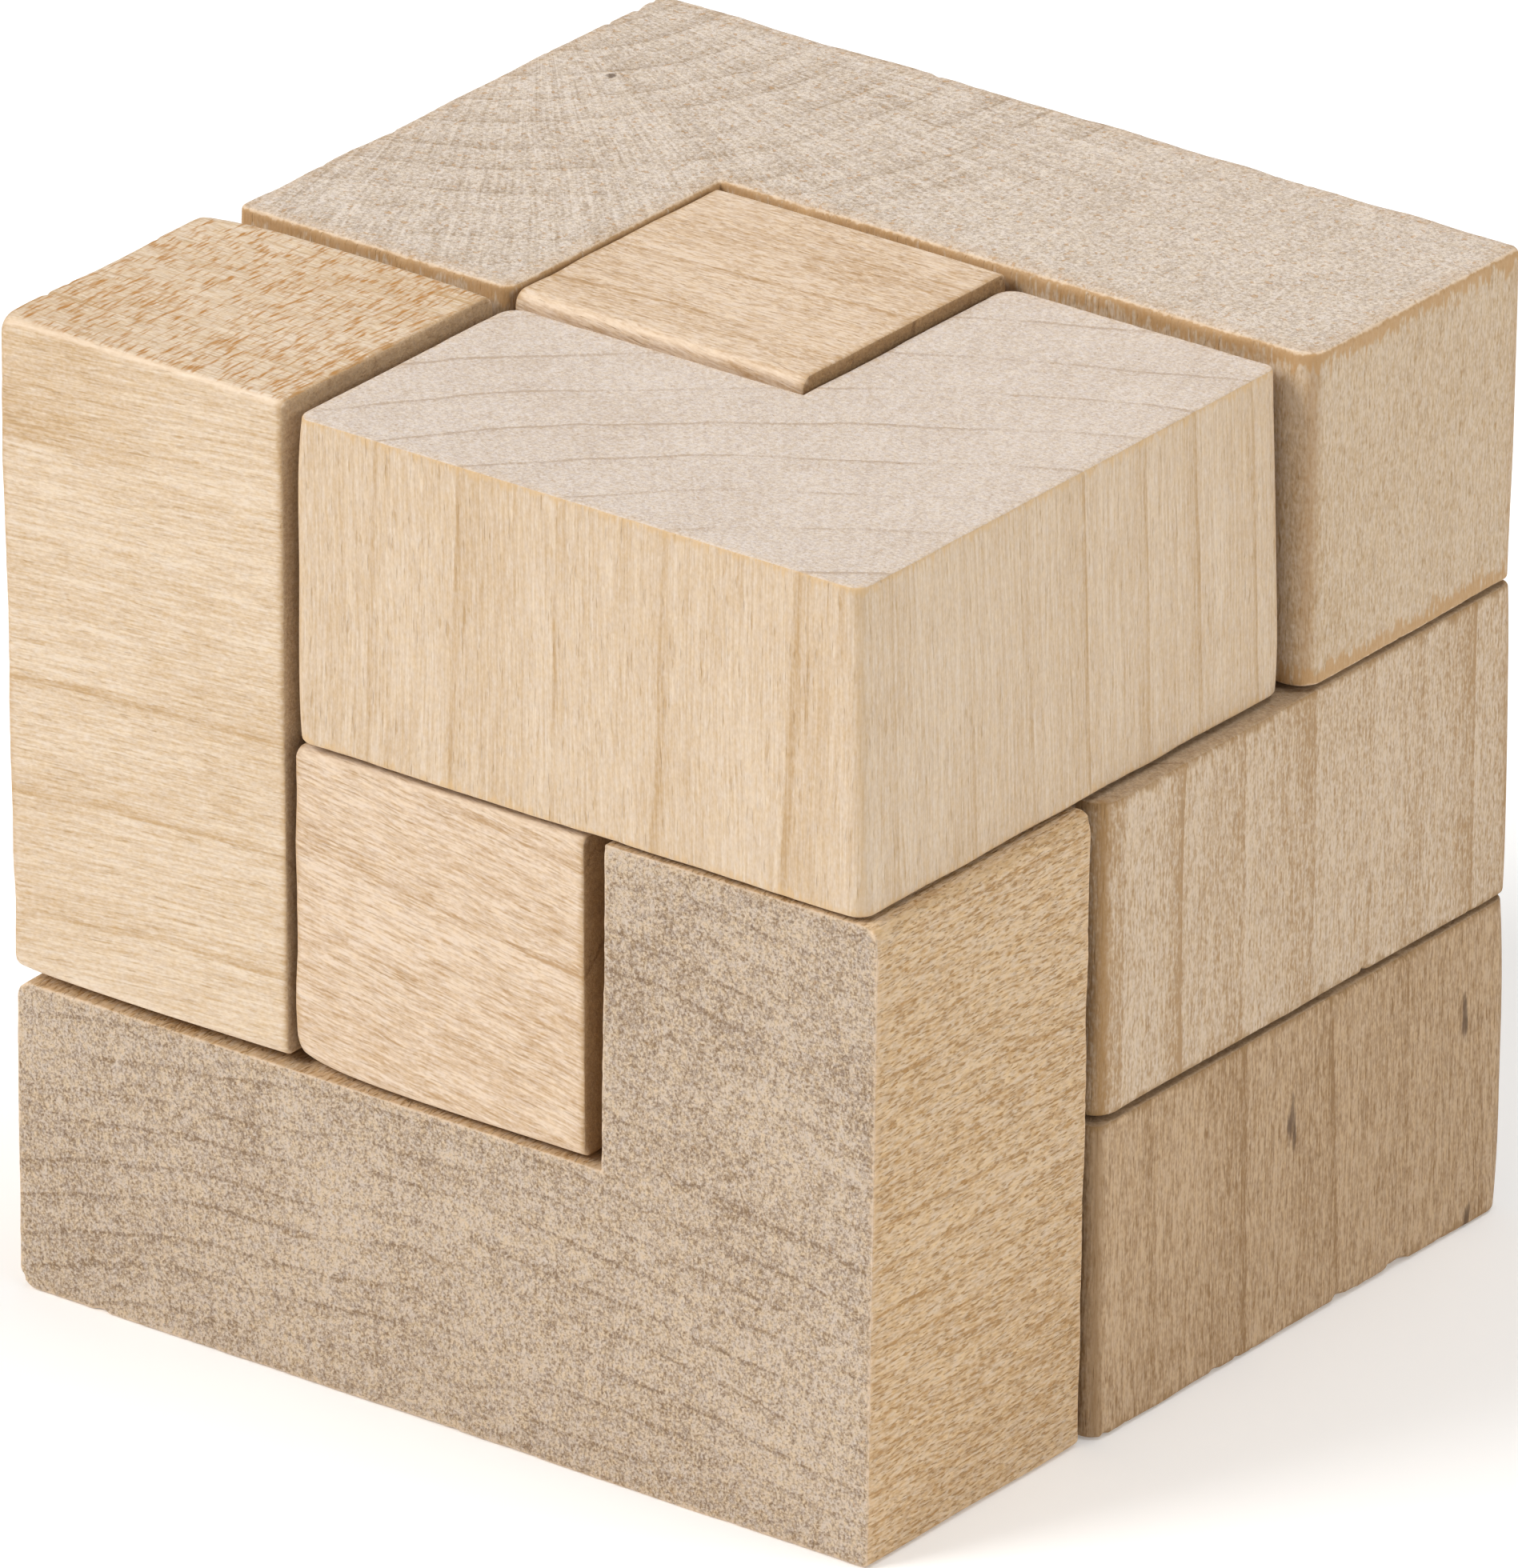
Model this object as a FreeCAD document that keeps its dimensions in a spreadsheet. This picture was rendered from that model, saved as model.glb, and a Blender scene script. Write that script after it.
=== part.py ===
import FreeCAD, Part
import os
import Sketcher

# Seven-piece wooden packing cube, built on a cubic unit of 20 mm.
#
# Each piece is one cross-cut slice of a milled wooden profile, one unit thick: the profile is an L, a T,
# a Z or a V made of unit squares, and the sawn faces of the slice are the faces with that outline.
# X runs to the right along the front of the cube, Y to the back and Z up.
# The origin is at the middle of the underside, on the surface that the cube stands on.
# The slices are a little uneven, as sawn and tumbled wood is, so each one has sizes of its own.

SIZES = {
    # Rounding of the long edges of the profile, and of the edges that the saw left.
    "milled_round": 0.9,
    "sawn_round": 0.35,
    # Z piece: upright slice at the left side, head at the front, foot at the middle.
    "z_piece_left": -31.15,
    "z_piece_front": -30.0,
    "z_piece_base": 0.0,
    "z_piece_thickness": 20.7,
    "z_piece_head_back": 19.5,
    "z_piece_foot_front": 20.4,
    "z_piece_back": 39.6,
    "z_piece_head_under": 19.8,
    "z_piece_foot_top": 39.15,
    "z_piece_top": 59.9,
    # T piece: upright slice in the middle of the cube, stem to the front.
    "t_piece_left": -10.25,
    "t_piece_front": -29.95,
    "t_piece_base": 0.0,
    "t_piece_thickness": 20.7,
    "t_piece_bar_front": 20.2,
    "t_piece_bar_back": 39.25,
    "t_piece_stem_under": 19.5,
    "t_piece_stem_top": 39.15,
    "t_piece_top": 59.9,
    # Front L: upright slice along the front, leg standing up at the right.
    "l_front_left": -30.15,
    "l_front_front": -30.1,
    "l_front_base": 0.0,
    "l_front_thickness": 20.1,
    "l_front_leg_side": 41.75,
    "l_front_right": 60.85,
    "l_front_arm_top": 19.25,
    "l_front_top": 39.3,
    # V piece: flat slice in the top layer, corner at the front right.
    "v_piece_left": -10.15,
    "v_piece_front": -30.1,
    "v_piece_base": 39.45,
    "v_piece_thickness": 19.8,
    "v_piece_leg_side": 20.75,
    "v_piece_right": 39.9,
    "v_piece_arm_back": 19.95,
    "v_piece_back": 39.2,
    # Top L: flat slice in the top layer, long arm along the back, leg to the front at the left.
    "l_top_left": -30.0,
    "l_top_front": -9.75,
    "l_top_base": 39.45,
    "l_top_thickness": 20.65,
    "l_top_leg_side": 19.6,
    "l_top_right": 61.15,
    "l_top_arm_front": 19.5,
    "l_top_back": 39.65,
    # Middle L: flat slice in the middle layer, long arm along the back, leg to the front at the right.
    "l_middle_left": -29.65,
    "l_middle_front": -9.2,
    "l_middle_base": 19.85,
    "l_middle_thickness": 19.4,
    "l_middle_leg_side": 40.35,
    "l_middle_right": 60.45,
    "l_middle_arm_front": 19.0,
    "l_middle_back": 39.2,
    # Bottom L: flat slice in the bottom layer, the same way round as the middle one.
    "l_bottom_left": -29.7,
    "l_bottom_front": -9.5,
    "l_bottom_base": 0.0,
    "l_bottom_thickness": 19.65,
    "l_bottom_leg_side": 40.5,
    "l_bottom_right": 60.5,
    "l_bottom_arm_front": 19.35,
    "l_bottom_back": 39.6,
}

# The outlines, corner by corner. A corner is (size along the sketch's first axis, size along its second),
# and both are measured from the piece's own lower corner, where START stands for nothing at all.
START = ""
Z_OUTLINE = [
    (START, "head_under"),
    ("foot_front", "head_under"),
    ("foot_front", START),
    ("back", START),
    ("back", "foot_top"),
    ("head_back", "foot_top"),
    ("head_back", "top"),
    (START, "top"),
]
T_OUTLINE = [
    (START, "stem_under"),
    ("bar_front", "stem_under"),
    ("bar_front", START),
    ("bar_back", START),
    ("bar_back", "top"),
    ("bar_front", "top"),
    ("bar_front", "stem_top"),
    (START, "stem_top"),
]
FRONT_L_OUTLINE = [
    (START, START),
    ("right", START),
    ("right", "top"),
    ("leg_side", "top"),
    ("leg_side", "arm_top"),
    (START, "arm_top"),
]
V_OUTLINE = [
    (START, START),
    ("right", START),
    ("right", "back"),
    ("leg_side", "back"),
    ("leg_side", "arm_back"),
    (START, "arm_back"),
]
LEFT_LEG_L_OUTLINE = [
    (START, START),
    ("leg_side", START),
    ("leg_side", "arm_front"),
    ("right", "arm_front"),
    ("right", "back"),
    (START, "back"),
]
RIGHT_LEG_L_OUTLINE = [
    ("leg_side", START),
    ("right", START),
    ("right", "back"),
    (START, "back"),
    (START, "arm_front"),
    ("leg_side", "arm_front"),
]

# Node name, the outline, and the origin plane that holds it.
PIECES = [
    ("t_piece", T_OUTLINE, "YZ_Plane"),
    ("z_piece", Z_OUTLINE, "YZ_Plane"),
    ("v_piece", V_OUTLINE, "XY_Plane"),
    ("l_front", FRONT_L_OUTLINE, "XZ_Plane"),
    ("l_top", LEFT_LEG_L_OUTLINE, "XY_Plane"),
    ("l_middle", RIGHT_LEG_L_OUTLINE, "XY_Plane"),
    ("l_bottom", RIGHT_LEG_L_OUTLINE, "XY_Plane"),
]

# The direction of the grain, square to the plane that holds the outline.
GRAIN = {
    "YZ_Plane": FreeCAD.Vector(1, 0, 0),
    "XZ_Plane": FreeCAD.Vector(0, 1, 0),
    "XY_Plane": FreeCAD.Vector(0, 0, 1),
}

# The sketcher's own numbers for its origin, its two axes and the ends of a line.
SKETCH_ORIGIN = (-1, 1)
FIRST_AXIS = -1
SECOND_AXIS = -2
LINE_START = 1
LINE_END = 2

TOUCHING = 1e-6


def make_sheet(doc):
    """The spreadsheet of driving sizes, one row each: name, value."""
    sheet = doc.addObject("Spreadsheet::Sheet", "Sizes")
    for row, (name, value) in enumerate(SIZES.items(), start=1):
        sheet.set("A%d" % row, name)
        sheet.set("B%d" % row, str(value))
        sheet.setAlias("B%d" % row, name)
    doc.recompute()


def size_of(piece, size):
    """One size of a piece in millimetres, nothing at START."""
    return 0.0 if size == START else SIZES["%s_%s" % (piece, size)]


def corner_points(piece, outline):
    """The outline's corners as pairs of millimetres."""
    return [(size_of(piece, along), size_of(piece, across)) for along, across in outline]


def place_edge(sketch, piece, size, edge, distance, axis):
    """Holds one straight edge of an outline on a sketch axis, or at a size from the sheet."""
    if size == START:
        sketch.addConstraint(Sketcher.Constraint("PointOnObject", edge, LINE_START, axis))
        return
    index = sketch.addConstraint(
        Sketcher.Constraint(distance, *SKETCH_ORIGIN, edge, LINE_START, size_of(piece, size))
    )
    sketch.renameConstraint(index, "%s_of_edge_%d" % (size, edge))
    sketch.setExpression("Constraints[%d]" % index, "Sizes.%s_%s" % (piece, size))


def draw_outline(body, piece, outline, plane):
    """The slice's outline: a closed run of straight edges that meet squarely."""
    sketch = body.newObject("Sketcher::SketchObject", piece + "_outline")
    origin_plane = next(f for f in body.Origin.OriginFeatures if f.Role == plane)
    sketch.AttachmentSupport = [(origin_plane, "")]
    sketch.MapMode = "FlatFace"

    corners = [FreeCAD.Vector(u, v, 0) for u, v in corner_points(piece, outline)]
    following = list(range(1, len(corners))) + [0]
    for edge, after in enumerate(following):
        sketch.addGeometry(Part.LineSegment(corners[edge], corners[after]), False)
    for edge, after in enumerate(following):
        sketch.addConstraint(Sketcher.Constraint("Coincident", edge, LINE_END, after, LINE_START))
        along, across = outline[edge]
        if along == outline[after][0]:
            sketch.addConstraint(Sketcher.Constraint("Vertical", edge))
            place_edge(sketch, piece, along, edge, "DistanceX", SECOND_AXIS)
        else:
            sketch.addConstraint(Sketcher.Constraint("Horizontal", edge))
            place_edge(sketch, piece, across, edge, "DistanceY", FIRST_AXIS)
    return sketch


def outward_corners(piece, outline):
    """The corners where the outline turns outwards. The outline runs anticlockwise."""
    points = corner_points(piece, outline)
    outward = []
    for before, here, after in zip(points[-1:] + points[:-1], points, points[1:] + points[:1]):
        arriving = (here[0] - before[0], here[1] - before[1])
        leaving = (after[0] - here[0], after[1] - here[1])
        if arriving[0] * leaving[1] - arriving[1] * leaving[0] > 0:
            outward.append(here)
    return outward


def milled_edges(pad, piece, outline, grain):
    """The long edges of the profile, at the outline's outward corners."""
    outward = outward_corners(piece, outline)
    names = []
    for number, edge in enumerate(pad.Shape.Edges, start=1):
        start, end = (vertex.Point for vertex in edge.Vertexes)
        if abs((end - start).dot(grain)) < TOUCHING:
            continue
        u, v = (value for value, along_grain in zip(start, grain) if not along_grain)
        if any(abs(u - a) < TOUCHING and abs(v - b) < TOUCHING for a, b in outward):
            names.append("Edge%d" % number)
    return names


def sawn_edges(feature, grain, thickness):
    """Every edge round the two sawn faces."""
    names = []
    for number, edge in enumerate(feature.Shape.Edges, start=1):
        depths = [vertex.Point.dot(grain) for vertex in edge.Vertexes]
        if any(max(abs(depth - face) for depth in depths) < TOUCHING for face in (0, thickness)):
            names.append("Edge%d" % number)
    return names


def make_slice(doc, piece, outline, plane):
    """One puzzle piece: the outline sawn to its thickness, then its edges rounded."""
    body = doc.addObject("PartDesign::Body", piece)
    body.Label = piece

    pad = body.newObject("PartDesign::Pad", piece + "_slice")
    pad.Profile = draw_outline(body, piece, outline, plane)
    # The XZ plane faces -Y, and every slice grows from its own corner in a positive direction.
    pad.Reversed = plane == "XZ_Plane"
    pad.setExpression("Length", "Sizes.%s_thickness" % piece)
    doc.recompute()

    grain = GRAIN[plane]
    milled = body.newObject("PartDesign::Fillet", piece + "_milled_edges")
    milled.Base = (pad, milled_edges(pad, piece, outline, grain))
    milled.setExpression("Radius", "Sizes.milled_round")
    doc.recompute()

    sawn = body.newObject("PartDesign::Fillet", piece + "_sawn_edges")
    sawn.Base = (milled, sawn_edges(milled, grain, size_of(piece, "thickness")))
    sawn.setExpression("Radius", "Sizes.sawn_round")
    body.Tip = sawn

    body.setExpression("Placement.Base.x", "Sizes.%s_left" % piece)
    body.setExpression("Placement.Base.y", "Sizes.%s_front" % piece)
    body.setExpression("Placement.Base.z", "Sizes.%s_base" % piece)
    return body


def check(doc, bodies):
    """Stops unless every feature was built and every piece is one closed, valid solid."""
    for item in doc.Objects:
        if "Invalid" in item.State or "Error" in item.State:
            raise RuntimeError("%s is %s" % (item.Name, item.State))
    for body in bodies:
        if body.Shape.isNull() or not body.Shape.isValid() or len(body.Shape.Solids) != 1:
            raise RuntimeError("%s has no valid solid" % body.Label)


def main():
    doc = FreeCAD.newDocument("packing_cube")
    make_sheet(doc)
    bodies = [make_slice(doc, *piece) for piece in PIECES]
    doc.recompute()
    check(doc, bodies)
    os.makedirs("parts", exist_ok=True)
    for body in bodies:
        body.Shape.exportStep("parts/%s.step" % body.Label)
        box = body.Shape.optimalBoundingBox()
        print("%s: %.1f mm3, %s" % (body.Label, body.Shape.Volume, box))


main()
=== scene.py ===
import math

import bpy
import numpy as np
from mathutils import Euler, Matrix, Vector
from mathutils.geometry import intersect_point_tri_2d


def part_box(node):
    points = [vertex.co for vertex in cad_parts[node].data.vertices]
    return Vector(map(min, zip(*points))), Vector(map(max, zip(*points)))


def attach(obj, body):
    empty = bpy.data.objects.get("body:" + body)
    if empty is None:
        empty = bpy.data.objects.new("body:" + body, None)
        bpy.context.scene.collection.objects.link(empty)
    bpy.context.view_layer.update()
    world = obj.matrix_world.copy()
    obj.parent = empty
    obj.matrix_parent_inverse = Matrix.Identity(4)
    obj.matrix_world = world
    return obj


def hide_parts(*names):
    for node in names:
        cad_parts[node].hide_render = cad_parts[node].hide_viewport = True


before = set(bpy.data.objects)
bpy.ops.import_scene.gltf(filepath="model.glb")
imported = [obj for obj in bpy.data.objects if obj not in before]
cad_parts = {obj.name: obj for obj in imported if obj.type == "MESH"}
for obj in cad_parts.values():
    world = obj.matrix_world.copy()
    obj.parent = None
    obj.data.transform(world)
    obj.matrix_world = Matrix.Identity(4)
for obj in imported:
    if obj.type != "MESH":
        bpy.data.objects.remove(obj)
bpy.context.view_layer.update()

# Seven-piece wooden packing cube. Every piece is a cross-cut slice of a milled wooden profile, so its grain
# runs through its thickness: the outline's faces are the sawn ones and show end grain, and the faces round
# the outline are milled and show long grain. Sizes are in millimetres until a mesh is finished.
MM = 0.001

# The mesh is cut this closely beside an edge and this widely between edges. Beside an edge each step is
# longer than the one before it, until the close zone ends.
FIRST_STEP = 0.09
STEP_GROWTH = 1.2
WIDE_STEP = 0.38
EDGE_ZONE = 2.3

# Rounding left by the mill, how much more of it tumbling left at a piece's corners, and chips.
MILLED_ROUND = 0.75
CORNER_WEAR = 0.5
CORNER_WEAR_REACH = 2.4
CHIP_DEPTH = 0.6
CHIP_RANGE = 0.25

# A style's entry for an edge counts for the outline's corner that it lies this close to.
EDGE_MATCH = 2.0

# How deep the slow warp of a face goes, its shorter waves, and the fibres of a milled face.
WARP_DEPTH = 0.08
WAVE_DEPTH = 0.03
FIBRE_DEPTH = 0.02
PIT_LEVEL = 0.58

# How far an edge's wear shows in the colour of the wood beside it.
MILLED_EDGE_REACH = 1.6
SAWN_EDGE_REACH = 2.0

# How flat a face of the CAD model has to be to count as one, and how large.
FLAT_NORMAL = 0.99999
FLAT_AREA = 20.0


# ---------------------------------------------------------------- noise for the meshes


def hashed(cells, seed):
    """A repeatable number from 0 to 1 for each whole-number cell."""
    mixed = np.full(len(cells), seed, np.uint64) * np.uint64(0x9E3779B97F4A7C15)
    for axis in range(3):
        mixed ^= cells[:, axis].astype(np.int64).view(np.uint64) + np.uint64(0x632BE59BD9B4E019)
        mixed *= np.uint64(0xFF51AFD7ED558CCD)
        mixed ^= mixed >> np.uint64(32)
    return (mixed >> np.uint64(40)).astype(float) / float(1 << 24)


def noise(points, size, seed):
    """Smooth noise from 0 to 1, with features of the given size along each axis."""
    places = points / np.asarray(size, float)
    cells = np.floor(places).astype(np.int64)
    part = places - cells
    part = part * part * (3 - 2 * part)
    total = np.zeros(len(points))
    for corner in np.ndindex(2, 2, 2):
        share = np.prod(np.where(np.array(corner), part, 1 - part), axis=1)
        total += share * hashed(cells + np.array(corner), seed)
    return total


# ---------------------------------------------------------------- slices of the profile


def slice_axes(grain):
    """The two axes across a slice and the one along its grain, in a right-handed order."""
    along = "xyz".index(grain)
    return [(along + 1) % 3, (along + 2) % 3, along]


def flat_faces(node, axis):
    """The CAD node's flat faces that are square to an axis: {place along it: triangles}."""
    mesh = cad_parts[node].data
    faces = {}
    areas = {}
    for polygon in mesh.polygons:
        if abs(polygon.normal[axis]) < FLAT_NORMAL:
            continue
        points = [mesh.vertices[index].co / MM for index in polygon.vertices]
        place = round(points[0][axis], 2)
        faces.setdefault(place, []).append(points)
        areas[place] = areas.get(place, 0) + polygon.area / MM**2
    return {place: faces[place] for place in faces if areas[place] > FLAT_AREA}


def read_slice(node, grain):
    """A slice's straight outline, from the CAD node: its lines across each way, which of the squares
    between them are wood, and where its two sawn faces are."""
    across, up, along = slice_axes(grain)
    lines = [np.array(sorted(flat_faces(node, axis))) for axis in (across, up)]
    sawn = flat_faces(node, along)
    low, high = min(sawn), max(sawn)

    def is_wood(u, v):
        return any(
            intersect_point_tri_2d(Vector((u, v)), *(Vector((p[across], p[up])) for p in triangle))
            for triangle in sawn[high]
        )

    middles = [(side[1:] + side[:-1]) / 2 for side in lines]
    wood = np.array([[is_wood(u, v) for v in middles[1]] for u in middles[0]])
    return lines, wood, (low, high)


def stations(lines):
    """Where the mesh is cut along one axis, closely beside each line and wider between them."""
    close = [0.0]
    while close[-1] < EDGE_ZONE:
        close.append(close[-1] + FIRST_STEP * STEP_GROWTH ** (len(close) - 1))
    close = np.array(close)
    cuts = []
    for low, high in zip(lines[:-1], lines[1:]):
        scale = min(1.0, (high - low) / (2.2 * close[-1]))
        near = close * scale
        gap = high - low - 2 * near[-1]
        between = np.linspace(low + near[-1], high - near[-1], max(1, round(gap / WIDE_STEP)) + 1)
        cuts += [low + near[:-1], between, high - near[-2:0:-1]]
    cuts.append(np.array([lines[-1]]))
    return np.concatenate(cuts)


def lattice_surface(wood, counts):
    """The squares round the filled cells of a lattice, as four corner numbers each, facing outwards."""
    _, rows, layers = counts

    def corner(i, j, k):
        return (i * rows + j) * layers + k

    def squares(i, j, k, first, second):
        a, b = np.array(first), np.array(second)
        places = [np.zeros(3, int), a, a + b, b]
        return np.stack([corner(i + p[0], j + p[1], k + p[2]) for p in places], axis=-1).reshape(-1, 4)

    filled = np.pad(wood, 1).astype(int)
    steps = (
        (filled[1:, 1:-1] - filled[:-1, 1:-1], (0, 1, 0), (0, 0, 1)),
        (filled[1:-1, 1:] - filled[1:-1, :-1], (0, 0, 1), (1, 0, 0)),
    )
    depth = np.arange(layers - 1)
    quads = []
    for step, first, second in steps:
        for turn in (1, -1):
            i, j = (values[:, None] for values in np.nonzero(step == -turn))
            quads.append(squares(i, j, depth[None, :], first, second)[:, ::turn])
    i, j = np.nonzero(wood)
    quads.append(squares(i, j, layers - 1, (1, 0, 0), (0, 1, 0)))
    quads.append(squares(i, j, 0, (1, 0, 0), (0, 1, 0))[:, ::-1])
    return np.concatenate(quads)


def outline_corners(lines, wood):
    """The outline's corners: (place, signs). The signs point away from the wood at an outward corner,
    and into the gap at an inward one. Returned as (outward, inward)."""
    filled = np.pad(wood, 1)
    outward, inward = [], []
    for i, u in enumerate(lines[0]):
        for j, v in enumerate(lines[1]):
            around = filled[i : i + 2, j : j + 2]
            if around.sum() == 1:
                a, b = np.argwhere(around)[0]
                outward.append((np.array([u, v]), np.array([1 - 2 * a, 1 - 2 * b])))
            elif around.sum() == 3:
                a, b = np.argwhere(~around)[0]
                inward.append((np.array([u, v]), np.array([2 * a - 1, 2 * b - 1])))
    return outward, inward


def outline_edges(lines, wood):
    """The outline's straight pieces: (axis they are square to, place, low end, high end, outward sign)."""
    filled = np.pad(wood, 1).astype(int)
    edges = []
    for axis in (0, 1):
        grid = filled if axis == 0 else filled.T
        step = grid[1:, 1:-1] - grid[:-1, 1:-1]
        for i, j in np.argwhere(step):
            other = lines[1 - axis]
            edges.append((axis, lines[axis][i], other[j], other[j + 1], -step[i, j]))
    return edges


def distance_to_outline(flat, edges):
    """Each point's distance to the outline, and the direction out to the nearest stretch of it."""
    nearest = np.full(len(flat), np.inf)
    out = np.zeros((len(flat), 2))
    for axis, place, low, high, sign in edges:
        beside = flat[:, 1 - axis]
        past = np.maximum(np.maximum(low - beside, beside - high), 0)
        away = np.maximum(abs(place - flat[:, axis]), past)
        closer = away < nearest - 1e-9
        nearest[closer] = away[closer]
        direction = np.zeros(2)
        direction[axis] = sign
        out[closer] = direction
    return nearest, out


def square_to_round(a, b):
    """Moves points of a square corner onto round arcs, so that its outer sides become a quarter circle."""
    length = np.maximum(np.hypot(a, b), 1e-9)
    scale = np.maximum(a, b) / length
    return a * scale, b * scale


def edge_wear(place, style):
    """A milled edge's radius, and how much larger it is towards the piece's low and high sawn ends."""
    for u, v, *wear in style["edges"]:
        if np.hypot(place[0] - u, place[1] - v) < EDGE_MATCH:
            return wear
    return MILLED_ROUND, CORNER_WEAR, CORNER_WEAR


def round_milled_edges(flat, depth, sawn, outward, inward, out, gap, style):
    """Rounds the profile's long edges, more towards their ends, where tumbling wore the corners down."""
    moved = flat.copy()
    wear = np.zeros(len(flat))
    for number, (place, signs) in enumerate(outward):
        round_off, low_wear, high_wear = edge_wear(place, style)
        along = np.stack([depth, np.full_like(depth, 40.0 * number), np.zeros_like(depth)], axis=1)
        uneven = 0.75 + 0.5 * noise(along, 7.0, style["seed"])
        corner = 1 + low_wear * np.exp(-(depth - sawn[0]) / CORNER_WEAR_REACH)
        corner += high_wear * np.exp(-(sawn[1] - depth) / CORNER_WEAR_REACH)
        radius = round_off * uneven * corner
        inside = (place - flat) * signs
        reach = np.maximum(inside[:, 0], inside[:, 1])
        near = (inside.min(axis=1) > -1e-6) & (reach < MILLED_EDGE_REACH)
        wear[near] = np.maximum(wear[near], 1 - reach[near] / MILLED_EDGE_REACH)
        region = (inside.min(axis=1) > -1e-6) & (reach < radius)
        a, b = (radius[region] - inside[region, side] for side in (0, 1))
        round_a, round_b = square_to_round(a, b)
        arc = np.stack([round_a, round_b], axis=1)
        moved[region] = place - signs * (radius[region][:, None] - arc)
        out[region] = signs * arc / np.maximum(np.linalg.norm(arc, axis=1), 1e-9)[:, None]
    for place, signs in inward:
        offset = (place - flat) * signs
        region = (offset.min(axis=1) > -1e-6) & (offset.max(axis=1) < EDGE_ZONE)
        largest = np.maximum(offset[region].max(axis=1), 1e-9)[:, None]
        direction = np.where(largest > 1e-6, offset[region] / largest, 1.0)
        out[region] = signs * direction
        gap[region] = offset[region].max(axis=1)
    return moved, wear


def round_sawn_edges(moved, depth, sawn, out, gap, style):
    """Rounds the edges that the saw left, unevenly, with chips where fibres tore out."""
    shore = moved + out * gap[:, None]
    wear = np.zeros(len(moved))
    new_depth = depth.copy()
    new_flat = moved.copy()
    for face, sign, round_off in zip(sawn, (-1, 1), style["sawn_rounds"]):
        places = np.column_stack([shore, np.full(len(shore), face)])
        uneven = 0.65 + 0.7 * noise(places, 3.0, style["seed"] + 1)
        fine = noise(places, 0.7, style["seed"] + 2) * noise(places, 2.2, style["seed"] + 3)
        chips = np.clip((fine - style["chip_level"]) / CHIP_RANGE, 0, 1) * CHIP_DEPTH
        radius = round_off * uneven + chips
        height = (face - depth) * sign
        reach = np.maximum(gap, height)
        near = reach < SAWN_EDGE_REACH
        wear[near] = np.maximum(wear[near], 1 - reach[near] / SAWN_EDGE_REACH)
        region = reach < radius
        a, b = radius[region] - gap[region], radius[region] - height[region]
        round_a, round_b = square_to_round(a, b)
        new_flat[region] -= out[region] * (a - round_a)[:, None]
        new_depth[region] -= sign * (b - round_b)
    return new_flat, new_depth, wear


def relief(points, normals, style):
    """How far the surface lies under the perfect one: warp, saw and mill marks, torn fibres."""
    seed = style["seed"]
    end_grain = abs(normals[:, 2]) ** 2
    warp = WARP_DEPTH * noise(points, 16.0, seed + 5) + WAVE_DEPTH * noise(points, 5.0, seed + 6)
    fibres = noise(points, (0.55, 0.55, 5.0), seed + 7)
    pores = noise(points, 0.5, seed + 8)
    pits = np.clip(noise(points, style["pit_size"], seed + 9) - PIT_LEVEL, 0, 1) * style["pit_depth"]
    long_relief = FIBRE_DEPTH * fibres + pits
    end_relief = style["saw_roughness"] * pores
    return warp + (1 - end_grain) * long_relief + end_grain * end_relief


def lean(points, low, high, style):
    """Leans faces that aren't square to the rest. Each lean is (the axis a face is square to, which side
    of the piece it is on, the axis and the end towards which it comes inwards, how far)."""
    share = (points - low) / (high - low)
    for axis, side, along, end, amount in style["leans"]:
        beside = share[:, axis] if side else 1 - share[:, axis]
        towards = share[:, along] if end else 1 - share[:, along]
        points[:, axis] += (-amount if side else amount) * beside * towards


def make_piece(name, node, style):
    """One slice as a dense mesh, rounded, worn and a little uneven, inside its CAD node's box."""
    axes = slice_axes(style["grain"])
    lines, wood, sawn = read_slice(node, style["grain"])
    cuts = [stations(lines[0]), stations(lines[1]), stations(np.array(sawn))]
    middles = [(c[1:] + c[:-1]) / 2 for c in cuts[:2]]
    coarse = [np.searchsorted(lines[side], middles[side]) - 1 for side in (0, 1)]
    quads = lattice_surface(wood[np.ix_(*coarse)], [len(c) for c in cuts])
    used, quads = np.unique(quads, return_inverse=True)
    quads = quads.reshape(-1, 4)
    i, j, k = np.unravel_index(used, [len(c) for c in cuts])
    flat = np.column_stack([cuts[0][i], cuts[1][j]])
    depth = cuts[2][k]

    gap, out = distance_to_outline(flat, outline_edges(lines, wood))
    outward, inward = outline_corners(lines, wood)
    flat, milled_wear = round_milled_edges(flat, depth, sawn, outward, inward, out, gap, style)
    flat, depth, sawn_wear = round_sawn_edges(flat, depth, sawn, out, gap, style)
    local = np.column_stack([flat, depth])

    mesh = bpy.data.meshes.new(name)
    points = np.empty_like(local)
    points[:, axes] = local
    mesh.from_pydata((points * MM).tolist(), [], quads.tolist())
    mesh.update()
    normals = np.empty(len(points) * 3, np.float32)
    mesh.vertex_normals.foreach_get("vector", normals)
    normals = normals.reshape(-1, 3)
    points -= normals * relief(local, normals[:, axes], style)[:, None]
    low, high = (np.array(corner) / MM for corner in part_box(node))
    lean(points, low, high, style)
    points = np.clip(points, low, high)
    mesh.vertices.foreach_set("co", (points * MM).astype(np.float32).ravel())
    for label, values in (("milled_edge", milled_wear), ("sawn_edge", sawn_wear)):
        attribute = mesh.attributes.new(label, "FLOAT", "POINT")
        attribute.data.foreach_set("value", values.astype(np.float32))
    mesh.polygons.foreach_set("use_smooth", np.ones(len(quads), bool))
    mesh.update()
    piece = bpy.data.objects.new(name, mesh)
    bpy.context.scene.collection.objects.link(piece)
    return piece


# ---------------------------------------------------------------- shader building blocks


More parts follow.
